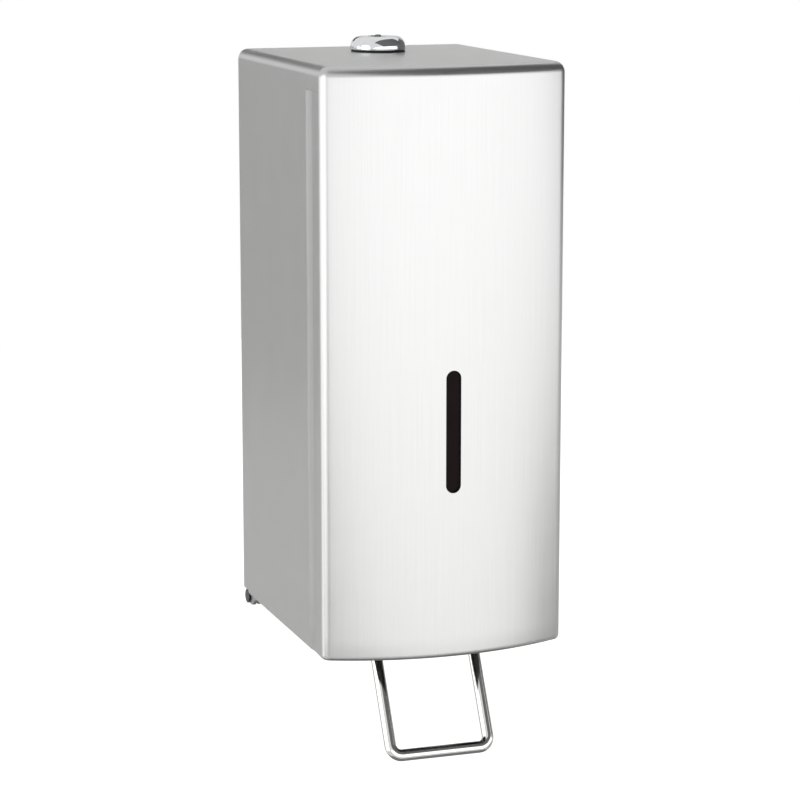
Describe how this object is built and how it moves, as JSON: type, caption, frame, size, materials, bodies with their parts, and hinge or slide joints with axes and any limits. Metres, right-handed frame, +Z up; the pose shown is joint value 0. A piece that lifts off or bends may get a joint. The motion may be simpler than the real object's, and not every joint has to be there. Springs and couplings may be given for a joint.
{
  "type": "soap dispenser",
  "caption": "Wall soap dispenser with a lockable hinged steel cover, a sight slot, an inner tank and a pump worked by a wire bail.",
  "frame": {"origin": "centre of the back plate's wall face, half way up the cover", "axes": "+X to the right as seen from the front, +Y towards the wall, +Z up"},
  "size_m": [0.104, 0.1296, 0.2944],
  "materials": {
    "satin_steel": "vertical satin brushed stainless steel",
    "plain_steel": "mill finish stainless sheet",
    "zinc_plate": "bright zinc plated steel",
    "chrome_plate": "polished chrome plating",
    "polished_wire": "polished stainless wire",
    "black_rubber": "moulded black rubber",
    "silicone": "translucent silicone",
    "natural_polyethylene": "translucent natural polyethylene",
    "white_acetal": "moulded white plastic",
    "black_acetal": "moulded black plastic",
    "smoked_acrylic": "smoked acrylic"
  },
  "bodies": {
    "wall_unit": {"back_plate": "plain_steel", "hinge_pin_left": "black_acetal", "hinge_pin_right": "black_acetal", "hinge_washer_left": "white_acetal", "hinge_washer_right": "white_acetal", "strike_bracket": "zinc_plate", "strike_rivet_1": "plain_steel", "strike_rivet_2": "plain_steel", "tank": "natural_polyethylene", "filler_collar": "natural_polyethylene", "tank_lid": "white_acetal", "lid_seal": "silicone", "tank_hook": "zinc_plate", "hook_screw_1": "zinc_plate", "hook_screw_2": "zinc_plate", "pump_bracket": "plain_steel", "bracket_screw_1": "zinc_plate", "bracket_screw_2": "zinc_plate", "bracket_screw_3": "zinc_plate", "bracket_screw_4": "zinc_plate", "pump_cylinder": "white_acetal", "pump_gasket": "black_rubber", "pump_nut": "white_acetal", "inlet_valve": "silicone", "return_spring": "plain_steel", "rocker_axle": "plain_steel", "axle_clip_left": "zinc_plate", "axle_clip_right": "zinc_plate", "rocker_bush_left": "white_acetal", "rocker_bush_right": "white_acetal"},
    "cover": {"cover_shell": "satin_steel", "cover_hinge_left": "plain_steel", "cover_hinge_right": "plain_steel", "sight_window": "smoked_acrylic", "window_retainer": "plain_steel", "window_stud_1": "zinc_plate", "window_stud_2": "zinc_plate", "lock_housing": "chrome_plate", "lock_gasket": "black_rubber", "lock_washer": "zinc_plate", "lock_nut": "zinc_plate"},
    "lock_core": {"lock_plug": "chrome_plate", "lock_cam": "zinc_plate", "cam_screw": "zinc_plate"},
    "bail": {"bail_wire": "polished_wire", "rocker": "black_acetal", "set_screw_left": "zinc_plate", "set_screw_right": "zinc_plate"},
    "pump_plunger": {"plunger": "white_acetal", "piston_seal": "black_rubber", "nozzle_tip": "white_acetal", "outlet_valve": "silicone"}
  },
  "joints": [
    {"name": "cover_swing", "type": "hinge", "parent": "wall_unit", "child": "cover", "pos_m": [0, -0.0045, -0.1215], "axis": [1, 0, 0], "range_deg": [0, 90]},
    {"name": "lock_turn", "type": "hinge", "parent": "cover", "child": "lock_core", "pos_m": [0, -0.0346, 0.1263], "axis": [0, 0, 1], "range_deg": [0, 90]},
    {"name": "bail_swing", "type": "hinge", "parent": "wall_unit", "child": "bail", "pos_m": [0, -0.0796, -0.098], "axis": [1, 0, 0], "range_deg": [0, 30], "stiffness_Nm_per_rad": 0.3, "springref_deg": -11.46},
    {"name": "plunger_stroke", "type": "slide", "parent": "wall_unit", "child": "pump_plunger", "axis": [0, 0, 1], "range_m": [0, 0.0106], "deforming": ["return_spring"]}
  ],
  "couplings": [
    {"joint": "plunger_stroke", "follows": "bail_swing", "m_per_rad": 0.02006}
  ]
}
